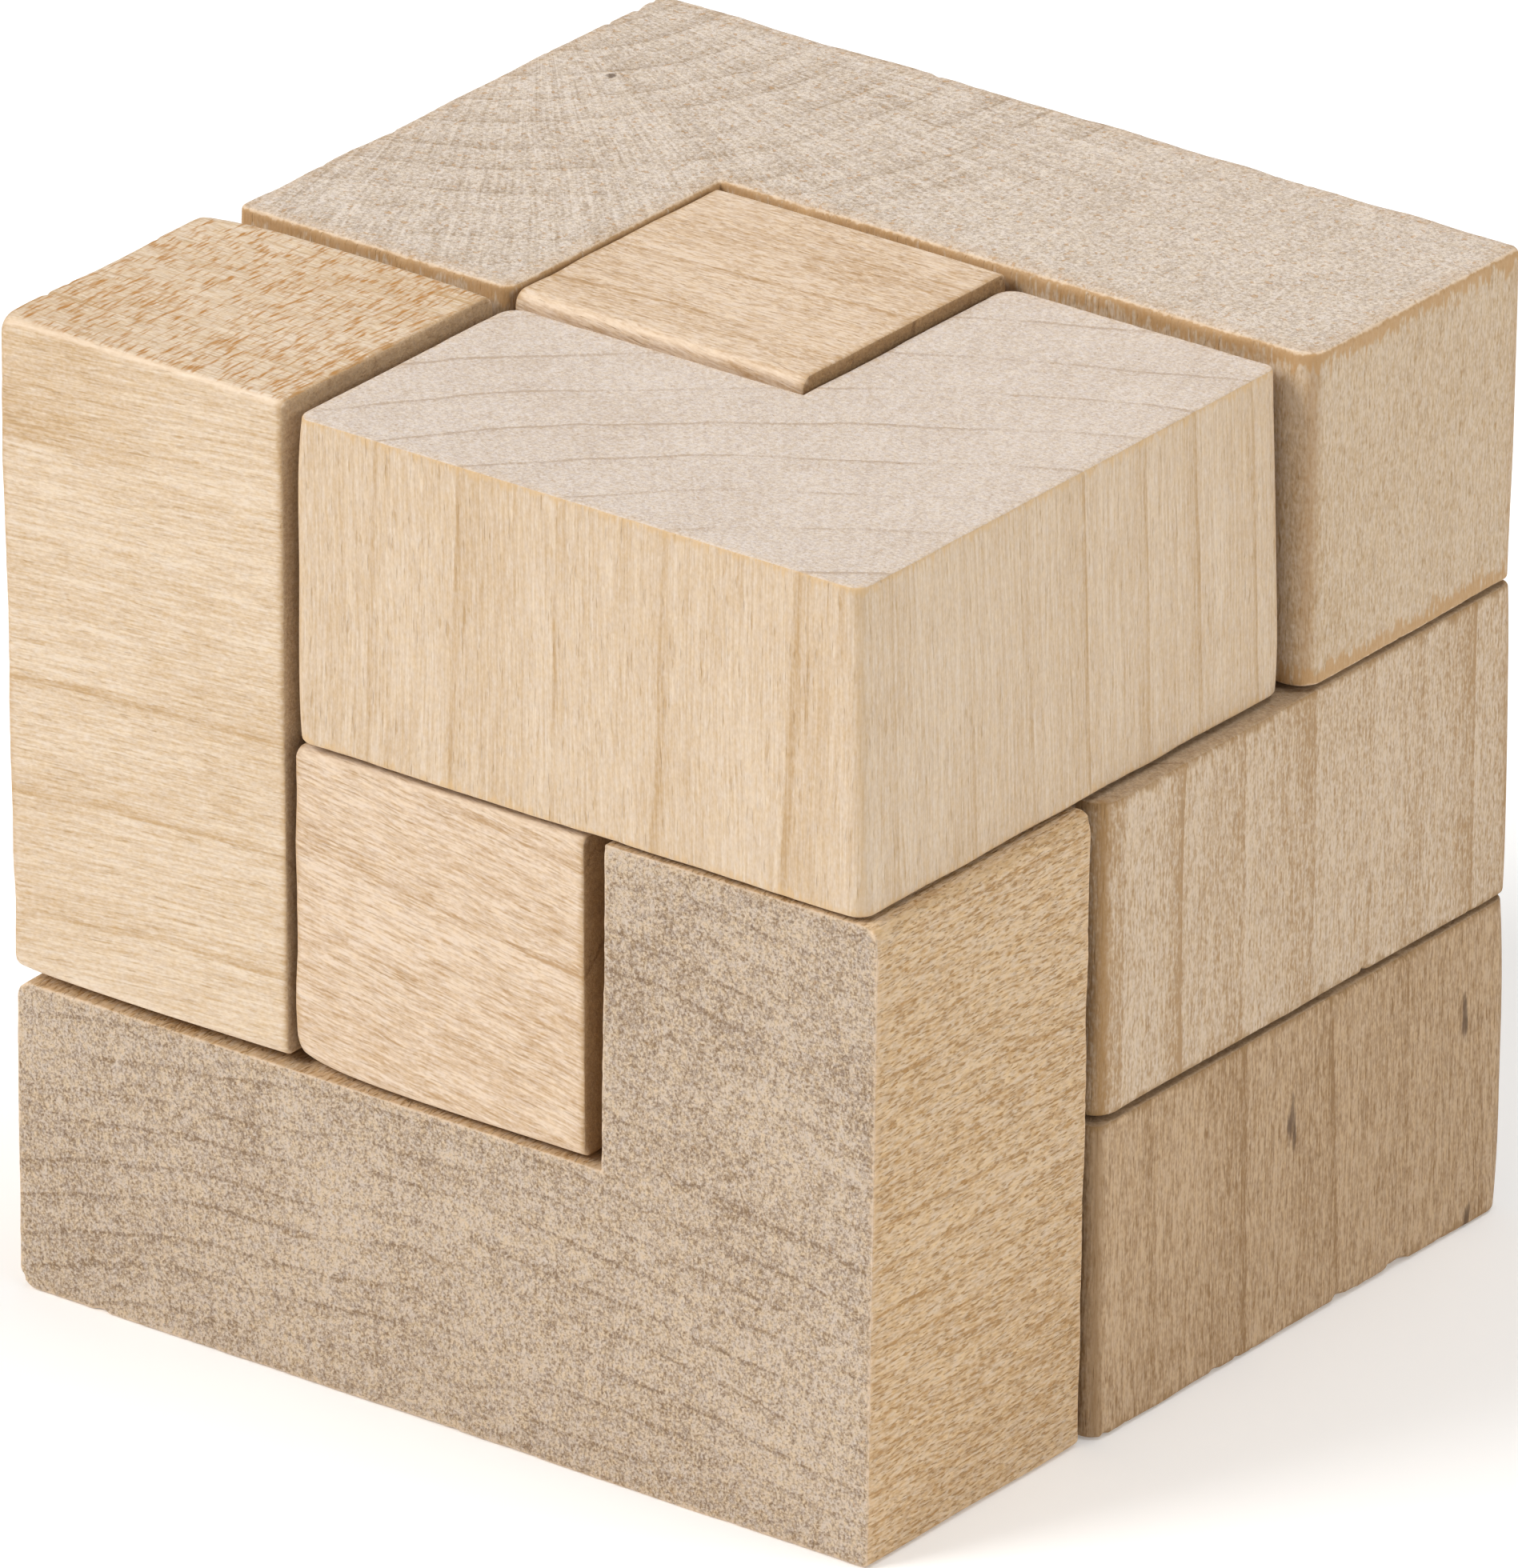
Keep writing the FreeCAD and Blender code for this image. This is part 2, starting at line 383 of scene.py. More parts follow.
class Nodes:
    """One material's node tree. Each method adds a node, joins its inputs and returns an output socket."""

    def __init__(self, name):
        self.material = bpy.data.materials.new(name)
        self.material.use_nodes = True
        self.tree = self.material.node_tree
        self.tree.nodes.clear()

    def add(self, kind, **settings):
        node = self.tree.nodes.new(kind)
        for key, value in settings.items():
            setattr(node, key, value)
        return node

    def join(self, value, socket):
        """Links a socket to an input, or sets the input to a plain value."""
        if isinstance(value, bpy.types.NodeSocket):
            self.tree.links.new(value, socket)
        else:
            socket.default_value = value

    def math(self, operation, *values, clamp=False):
        node = self.add("ShaderNodeMath", operation=operation, use_clamp=clamp)
        for value, socket in zip(values, node.inputs):
            self.join(value, socket)
        return node.outputs[0]

    def plus(self, a, b):
        return self.math("ADD", a, b)

    def minus(self, a, b):
        return self.math("SUBTRACT", a, b)

    def times(self, a, b):
        return self.math("MULTIPLY", a, b)

    def ramp(self, value, low, high):
        """0 below low, 1 above high, and a smooth step between them."""
        node = self.add("ShaderNodeMapRange", interpolation_type="SMOOTHSTEP")
        self.join(value, node.inputs["Value"])
        node.inputs["From Min"].default_value = low
        node.inputs["From Max"].default_value = high
        return node.outputs["Result"]

    def combine(self, x, y, z):
        node = self.add("ShaderNodeCombineXYZ")
        for value, socket in zip((x, y, z), node.inputs):
            self.join(value, socket)
        return node.outputs[0]

    def total(self, start, *parts):
        """A start value plus each signal times its amount."""
        for signal, amount in parts:
            start = self.math("MULTIPLY_ADD", signal, amount, start)
        return start

    def noise(self, place, size, detail=2.0, roughness=0.5, seed=0.0):
        """Noise round 0, mostly between -1 and 1, with features of the given size along each axis."""
        scaled = self.add("ShaderNodeVectorMath", operation="MULTIPLY_ADD")
        self.join(place, scaled.inputs[0])
        scaled.inputs[1].default_value = [1 / s for s in size]
        scaled.inputs[2].default_value = (seed * 7.31, seed * 3.17, seed * 5.53)
        node = self.add("ShaderNodeTexNoise", noise_dimensions="3D")
        self.join(scaled.outputs[0], node.inputs["Vector"])
        node.inputs["Scale"].default_value = 1.0
        node.inputs["Detail"].default_value = detail
        node.inputs["Roughness"].default_value = roughness
        return self.math("MULTIPLY_ADD", node.outputs["Fac"], 3.0, -1.5)

    def blend(self, share, a, b, mode="MIX"):
        node = self.add("ShaderNodeMix", data_type="RGBA", blend_type=mode, clamp_factor=True)
        self.join(share, node.inputs[0])
        self.join(a, node.inputs[6])
        self.join(b, node.inputs[7])
        return node.outputs[2]

    def attribute(self, name):
        return self.add("ShaderNodeAttribute", attribute_name=name).outputs["Fac"]


# ---------------------------------------------------------------- wood


def wood_place(nodes, style):
    """Places in the tree that the piece was cut from, in millimetres: across, up and along the grain,
    measured from the pith, which lies outside the piece. Then the distance from the pith, and how far the
    surface faces along the grain and away from the pith."""
    coordinates = nodes.add("ShaderNodeTexCoord")
    millimetres = nodes.add("ShaderNodeVectorMath", operation="SCALE")
    nodes.join(coordinates.outputs["Object"], millimetres.inputs[0])
    millimetres.inputs["Scale"].default_value = 1 / MM
    split = nodes.add("ShaderNodeSeparateXYZ")
    nodes.join(millimetres.outputs[0], split.inputs[0])
    across, up, along = (split.outputs[axis] for axis in slice_axes(style["grain"]))
    sway = nodes.noise(millimetres.outputs[0], style["sway_size"], detail=1.5, seed=style["seed"])
    sway = nodes.times(sway, style["sway"])
    a = nodes.minus(across, nodes.math("MULTIPLY_ADD", along, style["slope"][0], style["pith"][0]))
    b = nodes.minus(up, nodes.math("MULTIPLY_ADD", along, style["slope"][1], style["pith"][1]))
    a, b = nodes.plus(a, sway), nodes.plus(b, sway)
    reach = nodes.math("SQRT", nodes.plus(nodes.times(a, a), nodes.times(b, b)))

    normal = nodes.add("ShaderNodeSeparateXYZ")
    nodes.join(coordinates.outputs["Normal"], normal.inputs[0])
    out_a, out_b, out_along = (normal.outputs[axis] for axis in slice_axes(style["grain"]))
    faces_out = nodes.plus(nodes.times(out_a, a), nodes.times(out_b, b))
    faces_out = nodes.math("ABSOLUTE", nodes.math("DIVIDE", faces_out, reach))
    return a, b, along, reach, nodes.math("ABSOLUTE", out_along), faces_out


def growth_rings(nodes, a, b, along, reach, style):
    """The thin dark lines where a year ended, the shade that leads up to each, and places in years."""
    place = nodes.combine(a, b, along)
    wander = nodes.noise(place, (14, 14, 90), detail=2.0, seed=style["seed"] + 1)
    tremble = nodes.noise(place, (1.6, 1.6, 9), detail=2.0, seed=style["seed"] + 3)
    shifted = nodes.total(reach, (wander, style["wander"]), (tremble, 0.1))
    years = nodes.math("DIVIDE", shifted, style["ring"])
    uneven = nodes.noise(nodes.combine(years, 0.0, 0.0), (1.9, 1, 1), detail=0.0, seed=style["seed"])
    year = nodes.math("FRACT", nodes.total(years, (uneven, 0.2)))
    fade = nodes.noise(place, (9, 9, 30), detail=2.0, seed=style["seed"] + 2)
    fade = nodes.total(fade, (nodes.ramp(reach, *style["rings_end"]), -2.0))
    width = style["line_width"] / style["ring"]
    before = nodes.ramp(year, 1 - width, 1 - 0.3 * width)
    after = nodes.minus(1.0, nodes.ramp(year, 0.0, 0.25 * width))
    line = nodes.times(nodes.math("MAXIMUM", before, after), nodes.ramp(fade, -0.75, 0.35))
    shade = nodes.times(nodes.math("POWER", year, 2.5), nodes.ramp(fade, -0.9, 0.6))
    return line, shade


def rays(nodes, a, b, along, reach, style):
    """Flecks of the rays that run out from the pith, and the place that they are laid out in."""
    around = nodes.times(nodes.math("ARCTAN2", b, a), style["ray_radius"])
    place = nodes.combine(around, reach, along)
    thin, outwards, tall = style["ray_size"]
    coarse = nodes.noise(place, (thin, outwards, tall), detail=1.5, roughness=0.6, seed=style["seed"])
    patch = nodes.noise(place, (4.0, 5.0, 6.0), detail=1.0, seed=style["seed"] + 4)
    level = nodes.total(style["ray_level"], (patch, -0.22))
    return nodes.ramp(nodes.minus(coarse, level), 0.0, style["ray_soft"]), place


def marks(nodes, place, style):
    """Dark mineral streaks, each a long soft spot: (across, up, along, width, length)."""
    total = 0.0
    ragged = nodes.noise(place, (0.4, 0.4, 1.6), detail=2.0, seed=style["seed"] + 16)
    for across, up, along, width, length in style["marks"]:
        near = nodes.add("ShaderNodeVectorMath", operation="SUBTRACT")
        nodes.join(place, near.inputs[0])
        near.inputs[1].default_value = (across, up, along)
        scaled = nodes.add("ShaderNodeVectorMath", operation="MULTIPLY")
        nodes.join(near.outputs[0], scaled.inputs[0])
        scaled.inputs[1].default_value = (1 / width, 1 / width, 1 / length)
        distance = nodes.add("ShaderNodeVectorMath", operation="LENGTH")
        nodes.join(scaled.outputs[0], distance.inputs[0])
        spot = nodes.total(1.0, (distance.outputs["Value"], -1.0), (ragged, 0.45))
        total = nodes.math("MAXIMUM", total, nodes.ramp(spot, 0.0, 0.55))
    return total


def long_grain(nodes, place, line, shade, fleck, style):
    """Colour and height of a milled face."""
    seed = style["seed"]
    fine = nodes.noise(place, (0.16, 0.16, style["fibre"]), detail=2.0, roughness=0.6, seed=seed + 5)
    broad = nodes.noise(place, (0.7, 0.7, style["fibre"] * 6), detail=2.0, seed=seed + 6)
    blotch = nodes.noise(place, (7.0, 7.0, 20.0), detail=2.0, seed=seed + 7)
    grit = nodes.noise(place, (0.18, 0.18, 0.36), detail=1.0, roughness=0.7, seed=seed + 17)
    dash = nodes.noise(place, style["dash_size"], detail=1.0, seed=seed + 8)
    dash = nodes.ramp(dash, style["dash_level"], style["dash_level"] + 0.35)
    glint = nodes.noise(place, (0.2, 0.2, 1.1), detail=1.0, seed=seed + 9)
    glint = nodes.ramp(glint, 0.4, 0.8)
    dark = nodes.total(
        style["depth"],
        (fine, style["fine"]),
        (broad, style["broad"]),
        (blotch, style["blotch"]),
        (grit, style["grit"]),
        (dash, style["dash"]),
        (glint, -style["glint"]),
        (shade, style["shade"]),
        (line, style["line"]),
    )
    colour = nodes.blend(nodes.math("MAXIMUM", dark, 0.0), style["long_light"], style["long_dark"])
    colour = nodes.blend(nodes.times(fleck, style["fleck"]), colour, style["fleck_colour"])
    height = nodes.total(0.0, (fine, 0.25), (grit, 0.12), (dash, -0.5), (fleck, -style["fleck_depth"]))
    return colour, height


def end_grain(nodes, place, ray_place, rings_end, line, shade, style):
    """Colour and height of a sawn face."""
    seed = style["seed"]
    speckle = nodes.noise(place, [style["speckle_size"]] * 3, detail=2.0, roughness=0.75, seed=seed + 10)
    coarse = nodes.noise(place, (0.75, 0.75, 0.75), detail=2.0, seed=seed + 18)
    cloud = nodes.noise(place, (6.0, 6.0, 6.0), detail=2.0, seed=seed + 11)
    thin = nodes.noise(ray_place, (0.26, 7.0, 4.0), detail=2.0, roughness=0.6, seed=seed + 12)
    thin = nodes.times(thin, nodes.minus(1.0, nodes.times(rings_end, 0.8)))
    saw = nodes.noise(place, style["saw_size"], detail=2.0, seed=seed + 19)
    torn = nodes.noise(place, (0.5, 0.5, 0.5), detail=2.0, seed=seed + 13)
    torn = nodes.ramp(torn, style["torn_level"], style["torn_level"] + 0.3)
    pale = nodes.noise(place, (0.3, 0.3, 0.3), detail=1.0, seed=seed + 14)
    pale = nodes.ramp(pale, 0.35, 0.8)
    dark = nodes.total(
        style["end_depth"],
        (speckle, style["speckle"]),
        (coarse, style["coarse"]),
        (cloud, style["cloud"]),
        (thin, style["radial"]),
        (saw, style["saw"]),
        (pale, -style["pale"]),
        (shade, style["end_shade"]),
        (line, style["end_line"]),
    )
    colour = nodes.blend(nodes.math("MAXIMUM", dark, 0.0), style["end_light"], style["end_dark"])
    colour = nodes.blend(nodes.times(torn, style["torn"]), colour, style["torn_colour"])
    height = nodes.total(0.0, (speckle, 0.4), (coarse, 0.35), (saw, 0.2), (torn, -0.6))
    return colour, height


def wood_material(name, style):
    """Bare sanded hardwood that follows the grain through the whole piece."""
    nodes = Nodes(name)
    a, b, along, reach, faces_along, faces_out = wood_place(nodes, style)
    place = nodes.combine(a, b, along)
    line, shade = growth_rings(nodes, a, b, along, reach, style)
    fleck, ray_place = rays(nodes, a, b, along, reach, style)
    fleck = nodes.times(fleck, nodes.minus(1.0, nodes.ramp(faces_out, 0.25, 0.7)))
    long_colour, long_height = long_grain(nodes, place, line, shade, fleck, style)
    rings_end = nodes.ramp(reach, *style["rings_end"])
    end_colour, end_height = end_grain(nodes, place, ray_place, rings_end, line, shade, style)
    strokes = nodes.noise(place, (0.3, 0.3, 1.6), detail=2.0, seed=style["seed"] + 15)
    is_end = nodes.ramp(nodes.total(faces_along, (strokes, 0.08)), 0.6, 0.86)
    colour = nodes.blend(is_end, long_colour, end_colour)
    is_long = nodes.minus(1.0, is_end)

    # Some fibres are yellower than others and some greyer.
    hue = nodes.noise(place, (0.3, 0.3, 0.7), detail=3.0, roughness=0.6, seed=style["seed"] + 20)
    tint = nodes.blend(nodes.ramp(hue, -0.9, 0.9), style["cool"], style["warm"])
    colour = nodes.blend(style["tint"], colour, tint, mode="MULTIPLY")

    # Milled edges have a thin burnish. On some pieces its colour is also painted light: a cream painted
    # highlight along the edges of z_piece and t_piece, and dark painted shade on l_top, where an edge
    # rounds into the gap behind v_piece.
    milled, sawn = nodes.attribute("milled_edge"), nodes.attribute("sawn_edge")
    burnish_and_painted_light_share = nodes.ramp(nodes.total(milled, (strokes, 0.12)), style["burnish_and_painted_light_from"], 1.0)
    colour = nodes.blend(nodes.times(burnish_and_painted_light_share, style["burnish_and_painted_light"]), colour, style["burnish_and_painted_light_colour"])
    # Fibres torn by the saw stain its edges in short strokes. On some pieces the stain is partly painted
    # light: pale on l_front, lifting the strip that lies in shade under z_piece, and dark painted shade on
    # l_top's front wall in the gap behind v_piece and on l_middle's top strip under v_piece.
    tear = nodes.noise(place, (0.9, 0.9, 0.9), detail=2.0, seed=style["seed"] + 21)
    stain_and_painted_light_share = nodes.total(sawn, (strokes, style["ragged"]), (tear, style["torn_edge"]))
    stain_and_painted_light_share = nodes.ramp(stain_and_painted_light_share, style["stain_and_painted_light_from"], style["stain_and_painted_light_from"] + 0.3)
    stain_and_painted_light_share = nodes.times(stain_and_painted_light_share, nodes.total(0.25, (is_long, 0.75)))
    colour = nodes.blend(nodes.times(stain_and_painted_light_share, style["stain_and_painted_light"]), colour, style["stain_and_painted_light_colour"])
    # The very edge has a pale fringe on some pieces: a painted highlight where the rounded edge would catch
    # the light, ragged like torn fibres.
    fray_and_painted_highlight_share = nodes.ramp(nodes.total(sawn, (strokes, 0.1), (tear, 0.06)), 0.88, 1.0)
    colour = nodes.blend(nodes.times(fray_and_painted_highlight_share, style["fray_and_painted_highlight"]), colour, style["fray_and_painted_highlight_colour"])
    if style["marks"]:
        spots = marks(nodes, place, style)
        colour = nodes.blend(nodes.times(spots, style["mark"]), colour, style["mark_colour"])

    height = nodes.plus(nodes.times(end_height, is_end), nodes.times(long_height, is_long))
    rough = nodes.total(0.6, (is_end, 0.12), (height, -0.08), (milled, -0.12))
    bump = nodes.add("ShaderNodeBump")
    bump.inputs["Strength"].default_value = 1.0
    bump.inputs["Distance"].default_value = style["bump"] * MM
    nodes.join(height, bump.inputs["Height"])
    shader = nodes.add("ShaderNodeBsdfPrincipled")
    nodes.join(colour, shader.inputs["Base Color"])
    nodes.join(rough, shader.inputs["Roughness"])
    nodes.join(bump.outputs[0], shader.inputs["Normal"])
    shader.inputs["IOR"].default_value = 1.45
    shader.inputs["Specular IOR Level"].default_value = 0.25
    output = nodes.add("ShaderNodeOutputMaterial")
    nodes.join(shader.outputs[0], output.inputs["Surface"])
    return nodes.material


# ---------------------------------------------------------------- the pieces


# What most of the wood has in common. Sizes in millimetres, colours in linear light, and amounts as shares
# of the way from the light colour to the dark one. Each edge is (across, up, radius, wear at its low end,
# wear at its high end), with about the place of the outline's corner that it runs through, on the two axes
# of slice_axes. The leans are explained at lean, and the marks at marks.
COMMON = dict(
    edges=(),
    leans=(),
    sawn_rounds=(0.35, 0.3),
    chip_level=0.62,
    pit_size=(0.5, 0.5, 1.6),
    pit_depth=0.0,
    saw_roughness=0.03,
    slope=(0.0, 0.0),
    sway=0.5,
    sway_size=(30, 30, 30),
    ring=4.5,
    wander=0.9,
    line_width=0.35,
    rings_end=(900.0, 1000.0),
    ray_radius=70.0,
    ray_size=(0.16, 2.6, 0.8),
    ray_level=0.3,
    ray_soft=0.3,
    fleck=0.0,
    fleck_depth=0.3,
    fleck_colour=(0.42, 0.22, 0.09, 1),
    long_light=(0.76, 0.625, 0.475, 1),
    long_dark=(0.53, 0.355, 0.19, 1),
    depth=0.34,
    fibre=3.2,
    fine=0.55,
    broad=0.2,
    blotch=0.2,
    grit=0.35,
    dash=0.3,
    dash_size=(0.2, 0.2, 1.5),
    dash_level=0.4,
    glint=0.25,
    shade=0.12,
    line=0.3,
    end_depth=0.36,
    end_light=(0.70, 0.60, 0.50, 1),
    end_dark=(0.42, 0.31, 0.22, 1),
    speckle=0.6,
    speckle_size=0.2,
    coarse=0.18,
    cloud=0.14,
    radial=0.15,
    saw=0.1,
    saw_size=(0.4, 5.0, 5.0),
    pale=0.25,
    end_shade=0.12,
    end_line=0.35,
    torn=0.3,
    torn_level=0.5,
    torn_colour=(0.50, 0.29, 0.13, 1),
    burnish_and_painted_light=0.35,
    burnish_and_painted_light_from=0.55,
    burnish_and_painted_light_colour=(0.62, 0.41, 0.20, 1),
    ragged=0.16,
    torn_edge=0.08,
    stain_and_painted_light=0.55,
    stain_and_painted_light_from=0.68,
    stain_and_painted_light_colour=(0.46, 0.27, 0.11, 1),
    fray_and_painted_highlight=0.0,
    fray_and_painted_highlight_colour=(0.80, 0.62, 0.45, 1),
    tint=1.0,
    cool=(0.99, 1.01, 1.08, 1),
    warm=(1.02, 0.99, 0.93, 1),
    mark=0.8,
    mark_colour=(0.10, 0.055, 0.03, 1),
    marks=(),
    bump=0.05,
)

PIECES = {
    "z_piece": dict(
        COMMON,
        seed=11,
        grain="x",
        pith=(5.0, 58.0),
        edges=((-30, 59.9, 0.6, 1.4, 0.3), (-10.5, 59.9, 0.5, 3.0, 1.0), (-30, 19.8, 0.35, 1.6, 0.5)),
        leans=((0, 0, 2, 0, 1.0), (0, 1, 2, 1, 0.4)),
        sawn_rounds=(0.5, 0.35),
        slope=(0.0, 0.075),
        ring=4.4,
        ray_radius=35.0,
        ray_size=(0.6, 1.4, 0.22),
        ray_level=-0.17,
        ray_soft=0.85,
        fleck=1.0,
        fleck_colour=(0.47, 0.225, 0.065, 1),
        line=0.4,
        end_light=(0.58, 0.425, 0.27, 1),
        end_dark=(0.34, 0.22, 0.125, 1),
        # The cream on its milled edges is burnish together with a painted highlight.
        burnish_and_painted_light=0.6,
        burnish_and_painted_light_from=0.6,
        burnish_and_painted_light_colour=(0.84, 0.68, 0.52, 1),
    ),
    "t_piece": dict(
        COMMON,
        seed=23,
        grain="x",
        pith=(-80.0, 90.0),
        edges=((-30, 39.2, 0.4, 0.8, 0.2), (-30, 19.5, 0.5, 3.5, 0.2), (-9.7, 59.9, 0.6, 0.6, 0.3),
               (9.3, 59.9, 0.3, 0.6, 0.4)),
        leans=((0, 1, 2, 1, 0.3),),
        sawn_rounds=(0.35, 0.25),
        slope=(0.02, -0.14),
        sway=0.18,
        sway_size=(5, 5, 12),
        long_light=(0.77, 0.615, 0.465, 1),
        long_dark=(0.49, 0.315, 0.17, 1),
        fibre=1.8,
        fine=0.75,
        broad=0.25,
        dash_size=(0.16, 0.16, 2.6),
        shade=0.25,
        end_light=(0.42, 0.27, 0.14, 1),
        end_dark=(0.22, 0.125, 0.06, 1),
        # The cream on its milled edges is burnish together with a painted highlight.
        burnish_and_painted_light=0.5,
        burnish_and_painted_light_colour=(0.84, 0.67, 0.50, 1),
    ),
    "v_piece": dict(
        COMMON,
        seed=37,
        grain="z",
        pith=(64.0, -87.0),
        edges=((29.8, -30.1, 0.8, 0.5, 0.3), (-10.1, -30.1, 0.6, 0.8, 1.2), (29.8, 9.1, 0.7, 1.0, 0.3),
               (10.6, 9.1, 1.0, 0.5, 0.4), (-10.1, -10.1, 1.0, 0.5, 0.4)),
        leans=((0, 1, 2, 1, 0.55), (1, 0, 2, 1, 0.25)),
        sawn_rounds=(0.3, 0.25),
        chip_level=0.8,
        ring=5.0,
        long_light=(0.725, 0.59, 0.445, 1),
        long_dark=(0.50, 0.335, 0.18, 1),
        fibre=5.0,
        fine=0.42,
        broad=0.16,
        blotch=0.12,
        grit=0.25,
        shade=0.2,
        end_light=(0.73, 0.64, 0.56, 1),
        end_dark=(0.50, 0.39, 0.30, 1),
        speckle=0.75,
        end_line=0.6,
        ragged=0.3,
        torn_edge=0.15,
        stain_and_painted_light=0.6,
        stain_and_painted_light_colour=(0.66, 0.44, 0.22, 1),
    ),
    "l_front": dict(
        COMMON,
        seed=41,
        grain="y",
        pith=(-120.0, 2.0),
        edges=((0, -30, 1.0, 0.4, 0.2), (19.3, -30, 0.7, 0.4, 0.2), (0, 30.7, 0.4, 0.3, 0.3),
               (39.3, 30.7, 0.8, 0.8, 0.4), (39.3, 11.6, 0.2, 0.2, 0.2)),
        leans=((0, 1, 2, 0, 0.5),),
        sawn_rounds=(0.2, 0.4),
        chip_level=0.54,
        pit_depth=0.12,
        saw_roughness=0.06,
        ring=2.2,
        ray_radius=140.0,
        long_light=(0.70, 0.53, 0.35, 1),
        long_dark=(0.44, 0.26, 0.11, 1),
        fibre=0.9,
        fine=0.85,
        dash=0.6,
        dash_size=(0.15, 0.15, 0.6),
        dash_level=0.2,
        glint=0.5,
        end_light=(0.64, 0.52, 0.40, 1),
        end_dark=(0.255, 0.17, 0.105, 1),
        speckle=1.1,
        speckle_size=0.18,
        coarse=0.28,
        cloud=0.18,
        pale=0.65,
        end_line=0.22,
        ragged=0.3,
        torn_edge=0.15,
        # Its pale stain is partly painted light, lifting the strip that lies in shade under z_piece.
        stain_and_painted_light=0.65,
        stain_and_painted_light_colour=(0.68, 0.47, 0.28, 1),
        # Its pale fringe on the very edge is a painted highlight.
        fray_and_painted_highlight=0.7,
        cool=(0.96, 1.0, 1.12, 1),
        warm=(1.05, 0.99, 0.85, 1),
        bump=0.09,
    ),
    "l_top": dict(
        COMMON,
        seed=53,
        grain="z",
        pith=(-38.6, 28.5),
        edges=((-30.0, -9.7, 0.5, 0.5, 0.3), (-10.2, -9.7, 0.7, 0.5, 0.5), (31.1, 9.8, 1.3, 0.3, 0.2),
               (31.1, 29.9, 0.6, 0.3, 0.2), (-30.0, 29.9, 0.8, 0.3, 0.2)),
        leans=((0, 1, 2, 0, 0.3),),
        sawn_rounds=(0.3, 0.5),
        chip_level=0.45,
        saw_roughness=0.05,
        ring=3.4,
        rings_end=(38.0, 52.0),
        ray_radius=40.0,
        long_light=(0.65, 0.52, 0.38, 1),
        long_dark=(0.44, 0.29, 0.15, 1),
        fibre=0.8,
        broad=0.1,
        grit=0.5,
        shade=0.05,
        line=0.05,
        end_light=(0.75, 0.655, 0.56, 1),
        end_dark=(0.38, 0.285, 0.20, 1),
        speckle=0.8,
        coarse=0.1,
        cloud=0.08,
        radial=0.38,
        saw=0.15,
        end_shade=0.3,
        end_line=0.1,
        torn=0.6,
        torn_level=0.3,
        # Its dark brown on the milled edges is burnish together with painted shade where its front wall
        # rounds into the gap behind v_piece.
        burnish_and_painted_light=0.55,
        burnish_and_painted_light_from=0.2,
        burnish_and_painted_light_colour=(0.42, 0.245, 0.11, 1),
        ragged=0.5,
        torn_edge=0.3,
        # Its orange-brown stain is partly painted shade on its front wall in the gap behind v_piece.
        stain_and_painted_light=0.75,
        stain_and_painted_light_from=0.35,
        stain_and_painted_light_colour=(0.50, 0.29, 0.12, 1),
        # Its pale fringe on the very edge is a painted highlight.
        fray_and_painted_highlight=0.55,
        fray_and_painted_highlight_colour=(0.86, 0.68, 0.50, 1),
        marks=((13.8, -10.4, 60.1, 0.4, 0.4),),
    ),
    "l_middle": dict(
        COMMON,
        seed=67,
        grain="z",
        pith=(80.0, -60.0),
        edges=((30.8, -9.2, 1.0, 0.5, 0.3), (30.8, 30.0, 0.6, 0.5, 0.3)),
        long_light=(0.66, 0.525, 0.385, 1),
        long_dark=(0.42, 0.27, 0.14, 1),
        fibre=1.4,
        fine=0.65,
        grit=0.65,
        shade=0.7,
        line=0.2,
        end_light=(0.58, 0.44, 0.295, 1),
        end_dark=(0.34, 0.225, 0.13, 1),
        burnish_and_painted_light=0.8,
        burnish_and_painted_light_from=0.3,
        burnish_and_painted_light_colour=(0.38, 0.215, 0.08, 1),
        torn_edge=0.25,
        # Its dark stain is partly painted shade on its top strip under v_piece.
        stain_and_painted_light=0.7,
        stain_and_painted_light_colour=(0.34, 0.20, 0.08, 1),
    ),
    "l_bottom": dict(
        COMMON,
        seed=79,
        grain="z",
        pith=(120.0, -40.0),
        edges=((30.8, -9.5, 0.9, 0.5, 0.3), (30.8, 30.1, 1.0, 0.5, 0.4)),
        sawn_rounds=(0.4, 0.3),
        chip_level=0.56,
        ring=4.0,
        long_light=(0.565, 0.405, 0.255, 1),
        long_dark=(0.31, 0.185, 0.085, 1),
        fibre=1.4,
        fine=0.8,
        grit=0.5,
        dash=0.5,
        shade=0.3,
        end_light=(0.55, 0.41, 0.27, 1),
        end_dark=(0.32, 0.21, 0.12, 1),
        burnish_and_painted_light=0.8,
        burnish_and_painted_light_from=0.3,
        burnish_and_painted_light_colour=(0.32, 0.20, 0.10, 1),
        ragged=0.3,
        torn_edge=0.25,
        stain_and_painted_light=0.7,
        stain_and_painted_light_colour=(0.30, 0.175, 0.07, 1),
        marks=((-89.3, 49.4, 12.8, 0.55, 2.2), (-89.3, 66.0, 13.4, 0.4, 1.9), (-89.3, 66.4, 0.6, 0.4, 1.2)),
    ),
}


def make_pieces():
    for node, style in PIECES.items():
        piece = make_piece(node + "_wood", node, style)
        piece.data.materials.append(wood_material(node + "_grain", style))
        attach(piece, node)
        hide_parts(node)


# ---------------------------------------------------------------- floor, light and camera

# The floor glows a little, so that it stays pale right up to the cube.
FLOOR_SIZE = 6.0
FLOOR_COLOUR = (0.94, 0.94, 0.94, 1)
FLOOR_GLOW = 0.16
WORLD_STRENGTH = 0.15

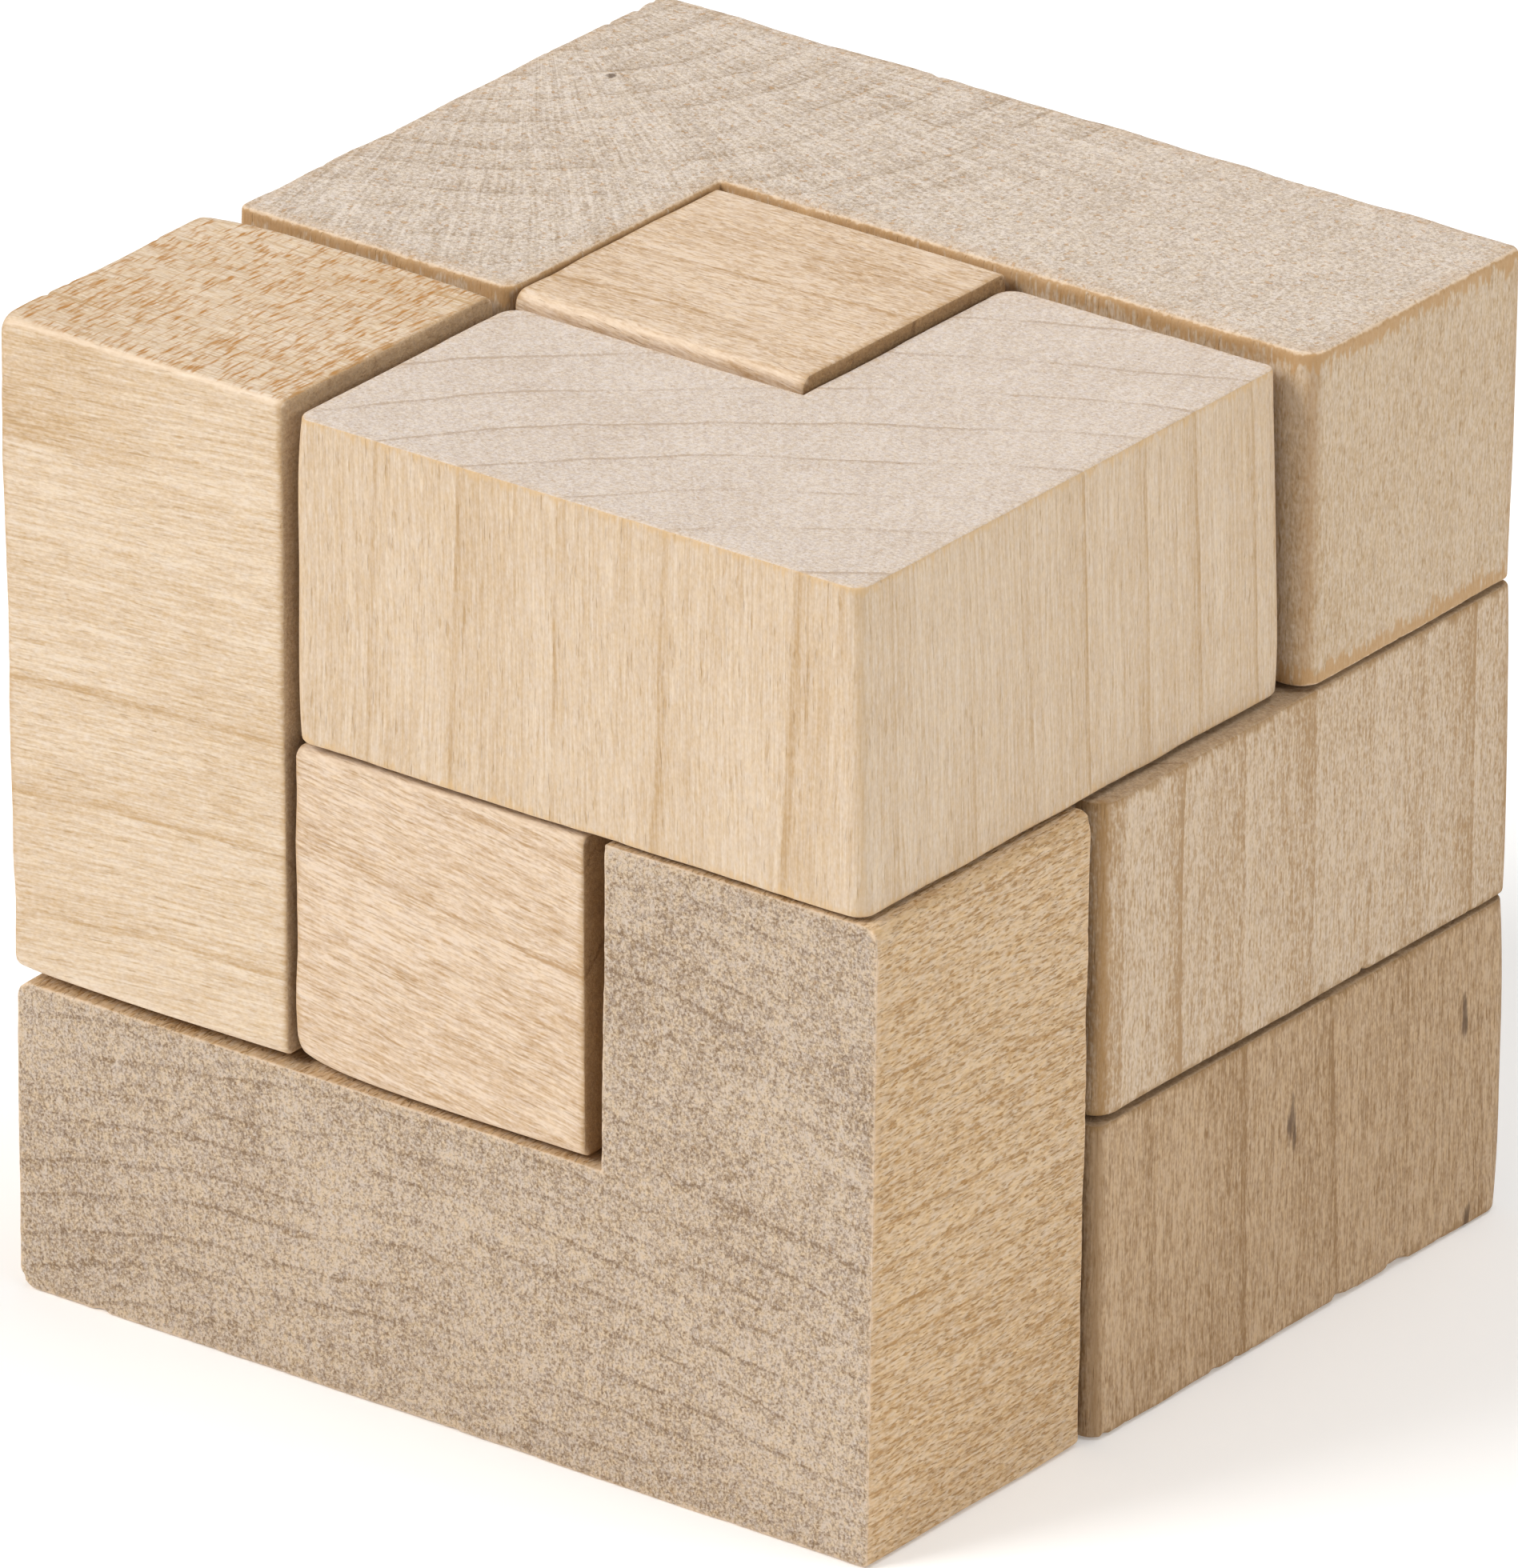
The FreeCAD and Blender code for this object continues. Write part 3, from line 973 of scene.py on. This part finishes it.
# Where the camera looks from, as angles round the cube, and how far off it is, in metres.
CAMERA_AZIMUTH = math.radians(36.98)
CAMERA_ELEVATION = math.radians(24.38)
CAMERA_ROLL = math.radians(0.21)
CAMERA_DISTANCE = 1.342
CAMERA_AIM = Vector((0.0020, -0.0029, 0.03045))
CAMERA_LENS = 545.3
CAMERA_SENSOR = 36.0
CAMERA_CLIP = (0.05, 20.0)


def make_floor():
    mesh = bpy.data.meshes.new("floor")
    half = FLOOR_SIZE / 2
    corners = [(-half, -half, 0), (half, -half, 0), (half, half, 0), (-half, half, 0)]
    mesh.from_pydata(corners, [], [(0, 1, 2, 3)])
    floor = bpy.data.objects.new("floor", mesh)
    bpy.context.scene.collection.objects.link(floor)
    nodes = Nodes("pale_floor")
    shader = nodes.add("ShaderNodeBsdfPrincipled")
    shader.inputs["Base Color"].default_value = FLOOR_COLOUR
    shader.inputs["Roughness"].default_value = 0.9
    shader.inputs["Emission Color"].default_value = (1.0, 1.0, 1.0, 1)
    shader.inputs["Emission Strength"].default_value = FLOOR_GLOW
    output = nodes.add("ShaderNodeOutputMaterial")
    nodes.join(shader.outputs[0], output.inputs["Surface"])
    mesh.materials.append(nodes.material)


def make_light(name, place, size, power, colour):
    """A square soft box that faces the cube."""
    data = bpy.data.lights.new(name, "AREA")
    data.shape = "SQUARE"
    data.size = size
    data.energy = power
    data.color = colour
    light = bpy.data.objects.new(name, data)
    light.location = place
    light.rotation_euler = (CAMERA_AIM - Vector(place)).to_track_quat("-Z", "Y").to_euler()
    bpy.context.scene.collection.objects.link(light)


def make_lights():
    world = bpy.data.worlds.new("studio")
    world.use_nodes = True
    background = world.node_tree.nodes["Background"]
    background.inputs["Color"].default_value = (1.0, 0.99, 0.98, 1)
    background.inputs["Strength"].default_value = WORLD_STRENGTH
    bpy.context.scene.world = world
    make_light("key", (-1.1, -1.5, 1.5), 1.2, 47.0, (1.0, 0.99, 0.97))
    make_light("overhead", (0.3, 0.4, 1.9), 1.4, 18.0, (1.0, 1.0, 1.0))
    make_light("fill", (2.0, 0.3, 0.9), 1.0, 14.2, (1.0, 0.99, 0.95))


def make_camera():
    data = bpy.data.cameras.new("camera")
    data.lens = CAMERA_LENS
    data.sensor_width = CAMERA_SENSOR
    data.clip_start, data.clip_end = CAMERA_CLIP
    camera = bpy.data.objects.new("camera", data)
    level = math.cos(CAMERA_ELEVATION)
    back = Vector((
        math.sin(CAMERA_AZIMUTH) * level,
        -math.cos(CAMERA_AZIMUTH) * level,
        math.sin(CAMERA_ELEVATION),
    ))
    camera.location = CAMERA_AIM + back * CAMERA_DISTANCE
    turn = (-back).to_track_quat("-Z", "Y")
    camera.rotation_euler = (turn @ Euler((0, 0, CAMERA_ROLL)).to_quaternion()).to_euler()
    bpy.context.scene.collection.objects.link(camera)
    bpy.context.scene.camera = camera


make_camera()
make_floor()
make_lights()
make_pieces()
bpy.context.scene.view_settings.view_transform = "Standard"
